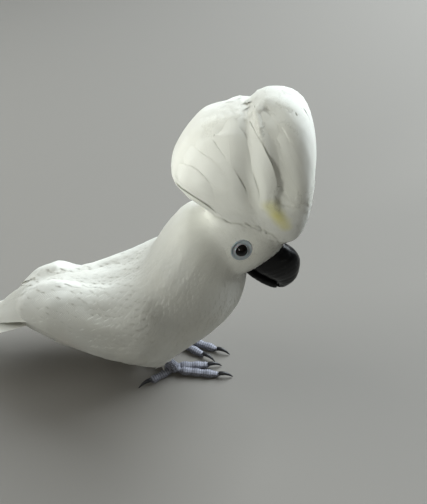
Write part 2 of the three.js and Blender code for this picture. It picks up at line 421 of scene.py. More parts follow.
def lieOf(spot):
    # the way the feathers point at a spot, before it is laid on the surface
    x, y, z = inPlan(spot)
    i = max(1, min(nearestOnSpine(spot)[1], len(spine) - 2))
    heading = (spine[i + 1] - spine[i - 1]).normalized()
    if x > 20 and z > 140:
        share = crestShare(spot)
        if share > 0:
            crown = Vector((x - 86, y, z - 158)).normalized()
            if z > 190:
                front = crestOwners[crestTree.find_nearest(spot)[2]] == "crest_front"
                crown = crown.lerp(lieFront(spot) if front else lieRear(spot), ease(z, 190, 205))
            heading = heading.lerp(crown, share)
        for eye in eyeSpots.values():
            away = spot - eye
            distance = away.length / mm
            if distance < 22:
                heading = heading + away.normalized() * 2.4 * (1 - distance / 22)
    elif z < 44 and 8 < abs(y) < 46 and -50 < x < 25:
        heading = heading + Vector((-0.2, 0, -1.6)) * (1 - z / 44)
    elif x < -30 and abs(y) > 16 and z > 40:
        tip = Vector((-215 - x, copysign(10, y) - y, 50 - z)).normalized()
        heading = heading.lerp(tip, 0.5)
    return heading.normalized()


# feathers


def vaneShape(across, along, root=0.34, tip=0.6, widest=0.6, fray=0.0, seed=1):
    # A thin closed vane one unit long, from x = 0 to 1, and y = -1 to 1 at its widest. Its height
    # is 1 on its upper face and -1 under it.
    draw = random.Random(seed)
    bm = bmesh.new()
    bmesh.ops.create_grid(bm, x_segments=along, y_segments=across, size=1)
    for v in bm.verts:
        u, w = (v.co.x + 1) / 2, v.co.y
        edge = abs(w) > 0.999 or u > 0.999
        rough = draw.uniform(-fray, fray * 0.4) if edge and u > 0.4 else 0
        half = root + (1 - root) * sin(min(u / widest, 1) * pi / 2)
        half *= 1 - (1 - tip) * max(0, (u - widest) / (1 - widest)) ** 2
        v.co.x = u * (1 - 0.22 * abs(w) ** 2.2 * u) + (rough if u > 0.999 else 0)
        v.co.y = w * half * (1 + (rough if abs(w) > 0.999 else 0))
        v.co.z = 0 if edge or u < 0.001 else 1
    under = bmesh.ops.duplicate(bm, geom=bm.faces[:])["geom"]
    lower = [item for item in under if isinstance(item, bmesh.types.BMFace)]
    for v in {v for face in lower for v in face.verts}:
        v.co.z = -v.co.z
    bmesh.ops.reverse_faces(bm, faces=lower)
    bmesh.ops.remove_doubles(bm, verts=bm.verts, dist=1e-5)
    bm.verts.index_update()
    corners = np.array([v.co for v in bm.verts])
    faces = np.array([[v.index for v in face.verts] for face in bm.faces])
    bm.free()
    return corners, faces


def sharesAcross(w):
    # how much the right, middle and left lines count at each place across the vane
    return np.stack([w * (w - 1) / 2, 1 - w * w, w * (w + 1) / 2], 1)


def sharesAlong(u, rows):
    # how much each row counts at each place along the vane
    scaled = np.clip(u, 0, 1) * (rows - 1)
    first = np.minimum(scaled.astype(int), rows - 2)
    s = scaled - first
    shares = np.zeros((len(u), rows))
    weights = (0.5 * (-s + 2 * s * s - s ** 3), 0.5 * (2 - 5 * s * s + 3 * s ** 3),
               0.5 * (s + 4 * s * s - 3 * s ** 3), 0.5 * (-s * s + s ** 3))
    for step, weight in zip((-1, 0, 1, 2), weights):
        np.add.at(shares, (np.arange(len(u)), np.clip(first + step, 0, rows - 1)), weight)
    return shares


def snapped(guess, up, limit):
    hit, normal, _, distance = skinTree.find_nearest(guess)
    if hit is None or distance > limit * 2 or normal.dot(up) < 0:
        return guess, up
    return hit, normal


def laidPatch(spot, up, heading, length, width, rows, lie=None, follow=0.5):
    # Three lines of spots and normals, side by side down the vane, which lie on the skin.
    lines = []
    heading = (heading - up * heading.dot(up)).normalized()
    step = length / (rows - 1)
    for i in range(rows):
        side = up.cross(heading).normalized() * (width / 2)
        right = snapped(spot - side, up, width * 0.35)
        left = snapped(spot + side, up, width * 0.35)
        lines.append((right, (spot, up), left))
        if i < rows - 1:
            spot, up = snapped(spot + heading * step, up, step * 0.5)
            wanted = heading + (lie(spot) if lie else heading) * follow
            heading = (wanted - up * wanted.dot(up)).normalized()
    return np.array([[[*spot, *up] for spot, up in line] for line in lines])


def fill(target, name, values, kind=np.float32):
    target.foreach_set(name, values.astype(kind).ravel())


class FeatherSet:
    # vanes of one shape that are to be joined in one mesh
    def __init__(self, shape, cupPower=2):
        self.corners, self.faces = shape
        self.cupPower = cupPower
        self.patches = []
        self.looks = []

    def add(self, patch, rises, cup, thick, shade, place, size=0.003, tilt=0.0):
        # rises: the height over the skin at the root, the middle and the tip
        self.patches.append(patch)
        self.looks.append((*rises, cup, thick, tilt, shade, *place, size))

    def mesh(self, name):
        u, w, h = self.corners[:, 0], self.corners[:, 1], self.corners[:, 2]
        patches, looks = np.array(self.patches), np.array(self.looks)
        (count, rows, columns), size = patches.shape[:3], len(u)
        across = sharesAcross(w) if columns == 3 else sharesAlong((w + 1) / 2, columns)
        shares = sharesAlong(u, rows)[:, :, None] * across[:, None, :]
        laid = np.einsum("vk,fkc->fvc", shares.reshape(size, -1), patches.reshape(count, -1, 6))
        root, middle, tip, cup, thick, tilt, shade, placeU, placeV, patch = np.split(looks, 10, 1)
        rise = root * (1 - u) * (1 - 2 * u) + middle * 4 * u * (1 - u) + tip * u * (2 * u - 1)
        along = np.clip(u, 0, 1)
        rise = rise - cup * np.abs(w) ** self.cupPower * np.sin(along * 2.6)
        rise = rise + tilt * w * np.sin(along * 2.7) + thick * h
        points = laid[:, :, :3] + laid[:, :, 3:] * rise[:, :, None]
        allFaces = (self.faces[None, :, :] + (np.arange(count) * size)[:, None, None]).reshape(-1, 4)
        mesh = bpy.data.meshes.new(name)
        mesh.vertices.add(count * size)
        fill(mesh.vertices, "co", points)
        mesh.loops.add(allFaces.size)
        fill(mesh.loops, "vertex_index", allFaces, np.int32)
        mesh.polygons.add(len(allFaces))
        fill(mesh.polygons, "loop_start", np.arange(0, allFaces.size, 4), np.int32)
        vane = np.stack([u, (w + 1) / 2], 1)
        bake = np.stack([placeU + u * patch, placeV + vane[:, 1] * patch], 2).reshape(-1, 2)
        for label, values in (("Vane", np.tile(vane, (count, 1))), ("OFBake", bake)):
            fill(mesh.uv_layers.new(name=label).data, "uv", values[allFaces.ravel()])
        outer = np.sign(h[self.faces].sum(1))
        under = laid[:, self.faces, 3:] * outer[None, :, None, None]
        fill(mesh.attributes.new("lay", "FLOAT_VECTOR", "CORNER").data, "vector", under)
        fill(mesh.attributes.new("shade", "FLOAT", "POINT").data, "value", np.repeat(shade[:, 0], size))
        mesh.update(calc_edges=True)
        # The rim is sharp, so that the faces are shaded flat out to their edge.
        rim = np.abs(h) < 0.5
        ends = np.zeros(len(mesh.edges) * 2, np.int32)
        mesh.edges.foreach_get("vertices", ends)
        sharp = rim[ends % size].reshape(-1, 2).all(1)
        fill(mesh.attributes.new("sharp_edge", "BOOLEAN", "EDGE").data, "value", sharp, bool)
        report(f"{name}: {count} vanes, {len(allFaces) * 2} triangles")
        return mesh


# materials


def feed(tree, socket, value):
    # gives a socket a link, a colour or a number
    if isinstance(value, bpy.types.NodeSocket):
        tree.links.new(value, socket)
    else:
        socket.default_value = (*value, 1) if socket.type == "RGBA" else value


def newMaterial(name, **values):
    material = bpy.data.materials.new(name)
    material.use_nodes = True
    tree = material.node_tree
    shader = tree.nodes["Principled BSDF"]
    for label, value in values.items():
        feed(tree, shader.inputs[label.replace("_", " ")], value)
    return material, tree, shader


def makeNode(tree, kind, inputs, **settings):
    node = tree.nodes.new("ShaderNode" + kind)
    for label, value in settings.items():
        setattr(node, label, value)
    for label, value in inputs.items():
        feed(tree, node.inputs[label], value)
    return node.outputs


def mathNode(tree, operation, *values):
    return makeNode(tree, "Math", dict(enumerate(values)), operation=operation)[0]


def vectorNode(tree, operation, *values):
    outputs = makeNode(tree, "VectorMath", dict(enumerate(values)), operation=operation)
    return outputs["Value" if operation in ("DISTANCE", "LENGTH") else "Vector"]


def mixNode(tree, share, a, b):
    return makeNode(tree, "Mix", {0: share, 6: a, 7: b}, data_type="RGBA")[2]


def mapNode(tree, value, low, high, start=0.0, end=1.0):
    inputs = {"Value": value, "From Min": low, "From Max": high, "To Min": start, "To Max": end}
    return makeNode(tree, "MapRange", inputs, interpolation_type="SMOOTHSTEP")["Result"]


def textureNode(tree, kind, coords, **values):
    return makeNode(tree, "Tex" + kind, {"Vector": coords, **values})


def attributeNode(tree, name):
    return makeNode(tree, "Attribute", {}, attribute_name=name)


def bumpNode(tree, height, shader, distance, strength, **others):
    inputs = {"Strength": strength, "Distance": distance * mm, "Height": height, **others}
    feed(tree, shader.inputs["Normal"], makeNode(tree, "Bump", inputs)["Normal"])


def objectCoords(tree):
    return makeNode(tree, "TexCoord", {})["Object"]


def makeGroup(name, kind):
    # a node group with one output
    group = bpy.data.node_groups.new(name, "ShaderNodeTree")
    group.interface.new_socket(name=kind, in_out="OUTPUT", socket_type="NodeSocket" + kind)
    return group, group.nodes.new("NodeGroupOutput").inputs[0]


def groupNode(tree, group):
    return makeNode(tree, "Group", {}, node_tree=group)[0]


def makeFinish(name, paint, relief=0.0, strength=0.5, **values):
    # paint says what feeds the shader's sockets, and the height that makes the relief
    material, tree, shader = newMaterial(name, **values)
    sources, height = paint(tree, objectCoords(tree))
    for label, source in sources.items():
        feed(tree, shader.inputs[label], source)
    if height:
        bumpNode(tree, height, shader, relief, strength)
    return material


# Tints of the plumage: place in the plan, reach in millimetres, colour and strength. The yellow at
# the crest's foot is on both sides.
yellow = [
    (82, 29, 218, 11, (0.78, 0.74, 0.26), 0.6),
    (87, 30, 209, 11, (0.78, 0.71, 0.13), 0.9),
    (91, 30, 201, 12, (0.76, 0.67, 0.08), 1.0),
    (94.5, 27, 194, 10, (0.78, 0.71, 0.13), 0.9),
]
plumageTints = {
    "white": (0.84, 0.83, 0.745),
    "coolWhite": (0.83, 0.835, 0.79),
    "spots": [
        ((84, 0, 232), 48, (0.78, 0.79, 0.60), 0.25),
        *(((x, side * y, z), *tint) for x, y, z, *tint in yellow for side in (-1, 1)),
        ((84, 0, 150), 26, (0.66, 0.57, 0.48), 0.30),
        ((-92, -44, 60), 26, (0.72, 0.60, 0.50), 0.22),
        ((-70, 46, 50), 24, (0.72, 0.62, 0.52), 0.15),
    ],
}


def makePlumageTint():
    group, result = makeGroup("plumageTint", "Color")
    coords = objectCoords(group)
    patches = textureNode(group, "Noise", coords, Scale=28, Detail=4)
    colour = mixNode(group, patches["Fac"], plumageTints["white"], plumageTints["coolWhite"])
    for spot, reach, tint, strength in plumageTints["spots"]:
        distance = vectorNode(group, "DISTANCE", coords, at(*spot))
        colour = mixNode(group, mapNode(group, distance, reach * mm, 0, 0, strength), colour, tint)
    feed(group, result, colour)
    return group


plumageTint = makePlumageTint()


def makeSoftNormal(name, share):
    # a normal between the vane's own and that of the skin under it
    group, result = makeGroup(name, "Vector")
    own = makeNode(group, "NewGeometry", {})["Normal"]
    lay = attributeNode(group, "lay")["Vector"]
    blend = makeNode(group, "Mix", {0: share, 4: own, 5: lay}, data_type="VECTOR")[1]
    feed(group, result, vectorNode(group, "NORMALIZE", blend))
    return group


# Sheen and depth of the feathers, and how many barbs' lines run across a vane.
plumage = {
    "shader": {"Roughness": 0.72, "Sheen_Weight": 0.12, "Subsurface_Weight": 0.1, "Specular_IOR_Level": 0.2,
               "Subsurface_Scale": 0.004, "Subsurface_Radius": (1.0, 0.95, 0.85)},
    "shadow": (0.60, 0.585, 0.52),
    "softBarbs": 120,
    "barbs": 620,
}


def plumageMaterial(name, barbs, lineDepth, shaft, softness):
    material, tree, shader = newMaterial(name, **plumage["shader"])
    shade = attributeNode(tree, "shade")["Fac"]
    colour = mixNode(tree, shade, plumage["shadow"], groupNode(tree, plumageTint))
    feed(tree, shader.inputs["Base Color"], colour)
    uv = makeNode(tree, "UVMap", {}, uv_map="Vane")["UV"]
    parts = makeNode(tree, "SeparateXYZ", {0: uv})
    fromShaft = mathNode(tree, "ABSOLUTE", mathNode(tree, "SUBTRACT", parts["Y"], 0.5))
    place = mathNode(tree, "SUBTRACT", parts["X"], mathNode(tree, "MULTIPLY", fromShaft, 0.5))
    height = mathNode(tree, "SINE", mathNode(tree, "MULTIPLY", place, barbs))
    if shaft:
        height = mathNode(tree, "ADD", height, mapNode(tree, fromShaft, 0.03, 0.0, 0.0, shaft))
    soft = groupNode(tree, makeSoftNormal(name + "Normal", softness))
    bumpNode(tree, height, shader, lineDepth, 0.5, Normal=soft)
    return material


def downPaint(tree, coords):
    fluff = textureNode(tree, "Noise", coords, Scale=900, Detail=3)
    shade = mapNode(tree, fluff["Fac"], 0.3, 0.7, 0.74, 0.92)
    return {"Base Color": mixNode(tree, shade, (0.34, 0.33, 0.29), groupNode(tree, plumageTint))}, None


softFinish = plumageMaterial("softFeathers", plumage["softBarbs"], 0.06, 0, 0.62)
quillFinish = plumageMaterial("quillFeathers", plumage["barbs"], 0.05, 6.0, 0.2)
crestFinish = plumageMaterial("crestFeathers", plumage["barbs"], 0.05, 2.0, 0.25)
skinFinish = makeFinish("down", downPaint, Roughness=0.8, Specular_IOR_Level=0.1)
addPiece("skin", skinShape.copy(), skinFinish, "plumage", *fleshNodes)

# The coat by distance from the bill along the spine: feather length, width and spacing.
zoneTable = np.array([
    (0, 3.4, 1.7, 1.0),
    (18, 4.8, 2.2, 1.2),
    (36, 7.5, 3.2, 1.6),
    (56, 11, 4.6, 2.1),
    (84, 15, 6.4, 2.4),
    (120, 19, 8.2, 2.9),
    (170, 24, 10, 3.4),
    (230, 28, 11.5, 3.8),
    (320, 30, 12, 4.0),
])
wingZones = np.array([
    # along the plan from the shoulder back
    (-170, 56, 19, 8.0),
    (-100, 52, 19, 7.0),
    (-62, 34, 15, 5.5),
    (-40, 25, 12, 4.4),
    (0, 19, 8.5, 3.4),
    (30, 17, 7.5, 3.1),
])
thighSizes = (13, 4.6, 2.6)
# the crest's from its foot up, and the heights between which each is reached
crestZones = [((9, 4, 2.0), 0, 1), ((16, 7, 3.4), 184, 210), ((34, 15, 7), 208, 216)]


def rowAt(table, place):
    return [float(np.interp(place, table[:, 0], table[:, k])) for k in (1, 2, 3)]


def sizesAt(spot, node):
    x, _, z = inPlan(spot)
    if node.startswith("wing"):
        return rowAt(wingZones, x)
    if node.startswith("thigh"):
        return thighSizes
    if node.startswith("crest"):
        sizes = crestZones[0][0]
        for reached, low, high in crestZones[1:]:
            sizes = [a + (b - a) * ease(z, low, high) for a, b in zip(sizes, reached)]
        return sizes
    return rowAt(zoneTable, alongSpine(spot))



def scattered(bm, finest, seed):
    # Spots spread evenly over a surface, each with air round it.
    draw = np.random.RandomState(seed)
    areas = np.array([face.calc_area() for face in bm.faces])
    bm.faces.ensure_lookup_table()
    picks = np.repeat(np.arange(len(areas)), draw.poisson(areas / finest ** 2))
    draw.shuffle(picks)
    blends = draw.rand(len(picks), 2)
    spots, ups = [], []
    for pick, (a, b) in zip(picks, blends):
        face = bm.faces[int(pick)]
        corners = [v.co for v in face.verts]
        low = corners[0].lerp(corners[1], a)
        high = corners[3].lerp(corners[2], a) if len(corners) > 3 else corners[2]
        spots.append(low.lerp(high, b))
        ups.append(face.normal)
    tree = treeOf(spots)
    taken = np.zeros(len(spots), bool)
    kept = []
    for i, spot in enumerate(spots):
        if taken[i]:
            continue
        spacing = sizesAt(spot, nodeUnder(spot))[2] * mm
        kept.append((spot.copy(), ups[i].copy()))
        for _, j, _ in tree.find_range(spot, spacing):
            taken[j] = True
    return kept


def skinPatch(spot, start, end):
    # the place of a root on the skin unrolled round the spine, for a piece between two distances
    far = (alongSpine(spot) - start) / (end - start)
    core = nearestOnSpine(spot)[0]
    turn = atan2(spot.z - core.z, spot.y - core.y) / (2 * pi) + 0.5
    return 0.01 + max(0, min(1, far)) * 0.97, 0.01 + turn * 0.97


shapes = {
    "face": vaneShape(3, 4, tip=0.5),
    "neck": vaneShape(4, 5, tip=0.5, fray=0.06),
    "body": vaneShape(5, 7, tip=0.6, fray=0.07),
    "leaf": vaneShape(4, 8, tip=0.6),
    "plume": vaneShape(6, 12, root=0.3, tip=0.66, widest=0.7, fray=0.03),
    "great": vaneShape(12, 20, root=0.3, tip=0.7, widest=0.62, fray=0.01),
    "quill": vaneShape(6, 12, root=0.45, tip=0.62, widest=0.4, fray=0.02),
}
# how far from the bill the pieces' bake maps start and end
bakeRanges = {"face": (0, 70), "neck": (40, 160)}
bakeRest = (40, 420)
vaneKinds = {"face": "face", "crown": "face", "neck": "neck", "crest_front": "leaf", "crest_rear": "leaf"}


def coatZone(spot, node):
    far = alongSpine(spot)
    if node.startswith("crest"):
        return "crown" if inPlan(spot).z < 214 else node
    if node == "head" or (node == "neck" and far < 66):
        return "face"
    if node == "trunk":
        return "back" if inPlan(spot).z > 66 else "belly"
    return node


# The crest's great feathers. Those over the front lobe stand round the globe, from one height in
# degrees to another. Those down each side of the rear lobe are given by places along their front
# edge, x and z. Those behind follow the lobe's rim.
crest = {
    "frontTurns": [-104, -88, -71, -54, -38, -23, -8, 8, 23, 38, 54, 71, 88, 104],
    "frontRise": (-64, 74),
    "frontWidth": 25,
    "frontHeight": 0.35,
    "sideEdges": [
        ((91, 205), (85.2, 221), (83.5, 238), (78.6, 258), (70, 279), (63, 292)),
        ((88, 205), (80.8, 220), (73.2, 232.3), (67.7, 248), (65.2, 265), (62.8, 277), (61, 286)),
        ((78, 205), (68, 223), (59, 240), (51.5, 259), (47.5, 274)),
        ((70, 205), (61.5, 224), (51, 242), (40, 258), (31, 267)),
        ((60, 202), (46.2, 227), (35.8, 241), (23, 250), (14, 252)),
        ((50, 198), (36, 212), (21, 224), (9, 232)),
        ((45, 198), (28, 209), (12, 222)),
    ],
    "sideWidths": [30, 30, 30, 28, 25, 20, 9],
    "sideHeight": 1.1,
    "step": 0.12,           # how much higher each lies than the one before it
    "lips": [0.9, 0.8, 0.6, 0.6, 0.6, 0.6, 0.3],     # how far each front edge stands up
    "cups": [0.3, 0.5, 0.5, 0.5, 0.5, 0.6, 2.6],     # how far each is rolled down at its edges
    "tips": [0, 0.1, -0.3, -0.4, -0.4, -0.4, -0.4],   # how high each ends
    "rimCentre": (46, 234),
    "rimRows": [(-44, 10), (-20, 38), (4, 62), (26, 84)],   # from and to, in degrees up the rim
    "rimWidth": 19,
    "shades": (0.94, 1.0),
    "thick": 0.12,
    "root": -1.5,     # how high they start
}


def castIn(aim, away, reach=0.0):
    # the skin met on the way in from outside to a point and the way it faces, or else a spot at a
    # reach from the point
    away = away.normalized()
    hit, normal, _, _ = skinTree.ray_cast(aim + away * 0.12, -away, 0.12)
    return (hit, normal) if hit or not reach else (aim + away * reach, away)


def patchOf(place, rows=13, columns=(-1, -0.5, 0, 0.5, 1)):
    # the spots and normals that place gives for each row and each column of a vane
    lines = []
    for i in range(rows):
        line = [place(i / (rows - 1), w) for w in columns]
        lines.append([[*spot, *up] for spot, up in line])
    return np.array(lines)


def globePatch(turn, low, high, width):
    centre = at(*globe["centre"])

    def place(share, w):
        rise = radians(low + (high - low) * share)
        spread = min(50, width / 2 / globe["radius"] / max(0.2, cos(rise)) * 57.3)
        angle = radians(turn) - w * radians(spread)
        level = globeAhead * cos(angle) + Vector((0, 1, 0)) * sin(angle)
        return castIn(centre, level * cos(rise) + globeTop * sin(rise), 0.04)
    return patchOf(place)


def fanPatch(edge, side, width):
    bend = runThrough(edge)

    def place(share, w):
        t = share * (len(edge) - 1)
        spot = Vector(bend(t))
        ahead = (Vector(bend(t + 0.05)) - Vector(bend(t - 0.05))).normalized()
        behind = Vector((-ahead.y, ahead.x))
        # narrower at its foot, and at the crest's top
        foot, top = 0.5 + 0.5 * ease(t, 0, 0.8), 1 - 0.35 * ease(spot.y, 276, 290)
        return sideSpot(spot + behind * width * (0.5 - side * w * 0.5) * foot * top, side)
    return patchOf(place)


def sideSpot(flat, side):
    # the skin straight in from the side. Off the rim it keeps out beside the nearest skin there is.
    middle = Vector(crest["rimCentre"])
    inner = flat.copy()
    for _ in range(90):
        spot, up = castIn(at(inner.x, 0, inner.y), Vector((0, side, 0)))
        if spot:
            break
        inner += (middle - inner).normalized()
    out = flat - inner
    if out.length > 0:
        out = out.normalized() * min(out.length * 0.2, 0.6)
    return spot + Vector((out.x, 0, out.y)) * mm, up


def rimPatch(y, low, high, width):
    def place(share, w):
        angle = radians(low + (high - low) * share)
        aim = at(crest["rimCentre"][0], y + w * width / 2, crest["rimCentre"][1])
        return castIn(aim, Vector((-cos(angle), 0, sin(angle))), 0.03)
    return patchOf(place)


def addLong(feathers, patch, rises, cup, thick, shade, tilt=0.0):
    # a long feather, measured in millimetres, with a square of its own in the bake map
    row, column = divmod(len(feathers.patches), 12)
    feathers.add(patch, [rise * mm for rise in rises], cup * mm, thick * mm, shade,
                 (0.02 + column * 0.08, 0.02 + row * 0.08), size=0.07, tilt=tilt * mm)


def makeCrest():
    draw = random.Random(21)
    front = FeatherSet(shapes["great"], cupPower=7)
    rear = FeatherSet(shapes["great"], cupPower=3)

    def add(feathers, patch, height, tip, cup, tilt):
        shade = draw.uniform(*crest["shades"])
        addLong(feathers, patch, (crest["root"], height, tip), cup, crest["thick"], shade, tilt)

    low, high = crest["frontRise"]
    for turn in crest["frontTurns"]:
        height = crest["frontHeight"] + 0.5 * (1 - abs(turn) / 128)
        patch = globePatch(turn + draw.uniform(-3, 3), low + draw.uniform(-6, 4), high + draw.uniform(-5, 3),
                           crest["frontWidth"] * draw.uniform(0.92, 1.08))
        add(front, patch, height, -0.4, height + 0.2, copysign(0.15, turn))
    for order, (low, high) in enumerate(crest["rimRows"]):
        for y in (-11, 11, 0):
            patch = rimPatch(y + draw.uniform(-1, 1), low + draw.uniform(-6, 6), high + draw.uniform(-6, 6),
                             crest["rimWidth"])
            add(rear, patch, 0.6 - 0.1 * order, -0.4, 1, 0)
    for side in (-1, 1):
        for order, edge in enumerate(crest["sideEdges"]):
            moved = [(x + draw.uniform(-1.2, 1.2), z + draw.uniform(-1.2, 1.2)) for x, z in edge]
            patch = fanPatch(moved, side, crest["sideWidths"][order] * draw.uniform(0.94, 1.06))
            add(rear, patch, crest["sideHeight"] + crest["step"] * order, crest["tips"][order],
                crest["cups"][order], side * crest["lips"][order])
    addPiece("crestFront", front.mesh("crestFront"), crestFinish, "crest_plumage", "crest_front")
    addPiece("crestRear", rear.mesh("crestRear"), crestFinish, "crest_plumage", "crest_rear")


def fromEyes(spot):
    return min((spot - eye).length for eye in eyeSpots.values()) / mm


def ruffle(spot):
    # how much higher the feathers stand where they are ruffled, low on the back
    x, y, z = inPlan(spot)
    back = exp(-((x + 113) / 10) ** 2 - ((y - 13) / 8) ** 2) if z > 70 else 0
    flank = exp(-((x + 80) / 5) ** 2 - ((z - 50) / 7) ** 2) if y < -20 else 0
    thigh = exp(-((x + 30) / 6) ** 2 - ((z - 30) / 7) ** 2) if y < -20 else 0
    nape = exp(-((x - 28) / 16) ** 2 - ((z - 197) / 11) ** 2)
    lids = 1 - ease(fromEyes(spot), 9, 15)
    return (1 + 3.2 * back + 0.8 * flank + 0.4 * thigh) * (1 - 0.75 * nape) * (1 - 0.6 * lids)


def bent(patch):
    # whether a vane would leave the skin over a sharp bend
    root, end = patch[0, :, 3:], patch[-1, :, 3:]
    along, across = coat["bends"]
    return np.dot(root[1], end[1]) < along or np.dot(end[0], end[-1]) < across


def coatRises(spot, zone, kind, length, share):
    # how high a vane stands at its root, middle and tip
    depth = coatDepth(spot)
    top = share * depth * ruffle(spot)
    if zone.startswith("wing"):
        flatter = 1 - 0.4 * ease(length, 19, 30)
        return [rise * flatter for rise in (0.3 * depth, 0.2 * depth + 0.5 * top, 0.9 * top)]
    if kind == "leaf":
        return [rise * mm for rise in coat["crestRises"]]
    if kind == "face":
        high = min(top, coat["crownHeight"] * mm) if zone == "crown" else top
        return (-0.2 * mm, 0.65 * high, high)
    return (0.3 * depth, 0.2 * depth + 0.5 * top, 0.9 * top)


def makeCoat():
    draw = random.Random(5)
    sets = {}
    roots = scattered(skinShape, coat["finest"], 11)
    report(f"{len(roots)} roots")
    for spot, up in roots:
        if fromEyes(spot) < coat["eyeClear"]:
            continue
        node = nodeUnder(spot)
        zone = coatZone(spot, node)
        length, width, _ = sizesAt(spot, node)
        size = draw.uniform(*coat["sizes"])
        x = inPlan(spot).x
        if x < -100:
            size = min(size, max(9, x + coat["trunkEnd"]) / length)
        if zone == "back" and x < -122:
            size = min(size, 12 / length)
        if zone == "back" and x < coat["backEnd"]:
            continue
        if zone == "belly" and x < -120:
            size *= 0.5
        if node.startswith("wing") and length > coat["quillLength"]:
            zone += "_quills"
        kind = "plume" if zone.endswith("quills") else vaneKinds.get(zone, "body")
        rows = 7 if kind in ("plume", "leaf") else 4
        turn = Matrix.Rotation(radians(draw.uniform(*coat["turns"])), 3, up)
        lie = {"crest_front": lieFront, "crest_rear": lieRear}.get(zone, lieOf)
        for long, wide in ((size, size), coat["shortened"]):
            patch = laidPatch(spot, up, turn @ lie(spot), length * long * mm, width * wide * mm,
                              rows, lie)
            if kind == "leaf" or not bent(patch):
                break
        if kind == "leaf" and bent(patch):
            continue
        rises = coatRises(spot, zone, kind, length, draw.uniform(*coat["heights"]))
        cup = width * (0.015 if kind == "plume" else 0.025) * mm
        place = skinPatch(spot, *bakeRanges.get(zone, bakeRest))
        feathers = sets.setdefault(zone, FeatherSet(shapes[kind]))
        feathers.add(patch, rises, cup, coat["thick"], draw.uniform(*coat["shades"]), place)
    for zone, feathers in sets.items():
        finish, slot = (crestFinish, "crest_plumage") if zone in crestNodes else (softFinish, "plumage")
        addPiece("coat_" + zone, feathers.mesh("coat_" + zone), finish, slot)


makeCoat()
makeCrest()

# tail and flight feathers, as blades in the plan: how far along, how far across and how high
tail = {
    "root": (-116, -5, 64), "tip": (-250, -16, 27), "bank": 9, "count": 12, "length": 136, "width": 19,
    "rootStep": 1.6, "tipStep": 3.5, "shorter": 1.8, "lift": 1.6, "drop": 0.36, "sag": 2.5,
}
# The folded wing's tip lies between two paths: its lowest edge, and its edge along the back.
flight = {
    "outer": [(-112, 36, 72), (-137, 29, 69.5), (-161, 22, 59), (-186, 15, 47.5), (-207, 9, 42.5)],
    "inner": [(-112, 3, 95), (-138, 2, 86), (-158, 1, 71.5), (-178, 2, 53), (-205, 5, 42.5)],
    "bulge": 1.5,
    "farDrop": 3,         # how much lower the far wing's tip lies
    "farTuck": 0.55,      # how much nearer to the middle
    "width": 14,
    "step": 0.2,          # how much higher each feather lies than the one under it
    "shares": [0.16, 0.22, 0.28, 0.34, 0.40, 0.46, 0.52, 0.58, 0.64, 0.70, 0.76, 0.82],
    "ends": [3.5, 3.62, 3.74, 3.86, 3.95, 4.0, 3.9, 3.1, 2.95, 2.8, 2.65, 2.5],    # in rows of the paths
}


def tailPatch(off):
    # the spots and normals of the tail feather that is this many from the middle
    root = Vector(tail["root"])
    along = (Vector(tail["tip"]) - root).normalized()
    level = Vector((0, 0, 1)).cross(along).normalized()
    across = Matrix.Rotation(radians(tail["bank"]), 3, along) @ level
    up = along.cross(across)
    length = tail["length"] - abs(off) * tail["shorter"]
    lift = tail["lift"] - tail["drop"] * abs(off)
    start, end = off * tail["rootStep"], off * tail["tipStep"]

    def place(share, w):
        v = start + (end - start) * share ** 0.9 + w * tail["width"] / 2
        spot = root + along * (length * share) + across * v + up * (lift - tail["sag"] * (v / 30) ** 2)
        return at(*spot), up.normalized()
    return patchOf(place, 9, (-1, 0, 1))


def flightPatch(side, share, end, lift):
    outer, inner = (runThrough(flight[name]) for name in ("outer", "inner"))

    def spine(t, share=share):
        edge = Vector(outer(t))
        if side > 0:
            edge.y *= 1 - flight["farTuck"] * ease(t, 0.8, 2)
        spot = edge.lerp(Vector(inner(t)), share)
        spot.y *= side
        return spot

    def place(reached, w):
        t = reached * end
        heading = (spine(min(end, t + 0.1)) - spine(max(0, t - 0.1))).normalized()
        up = heading.cross(spine(t, 1) - spine(t, 0)).normalized()
        if up.z < 0:
            up.negate()
        spot = spine(t) + up * (lift + flight["bulge"] * 4 * share * (1 - share))
        spot.z -= flight["farDrop"] * (side > 0)
        return at(*(spot + up.cross(heading) * w * flight["width"] / 2)), up
    return patchOf(place, 11, (-1, 0, 1))


def makeQuills():
    draw = random.Random(31)
    feathers = FeatherSet(shapes["quill"])
    for k in range(tail["count"]):
        patch = tailPatch(k - (tail["count"] - 1) / 2)
        addLong(feathers, patch, (0, 0.2, draw.uniform(0, 0.4)), 0.8, 0.3, draw.uniform(0.95, 1))
    addPiece("tail_feathers", feathers.mesh("tail_feathers"), quillFinish, "plumage", "tail")
    for name, side in sides.items():
        feathers = FeatherSet(shapes["quill"])
        for k, (share, end) in enumerate(zip(flight["shares"], flight["ends"])):
            patch = flightPatch(side, share, end, flight["step"] * k)
            addLong(feathers, patch, (0, 0.1, draw.uniform(0, 0.2)), 0.35, 0.15, draw.uniform(0.95, 1))
        piece = "flight_feathers_" + name
        addPiece(piece, feathers.mesh(piece), quillFinish, "plumage", "flight_" + name)


makeQuills()

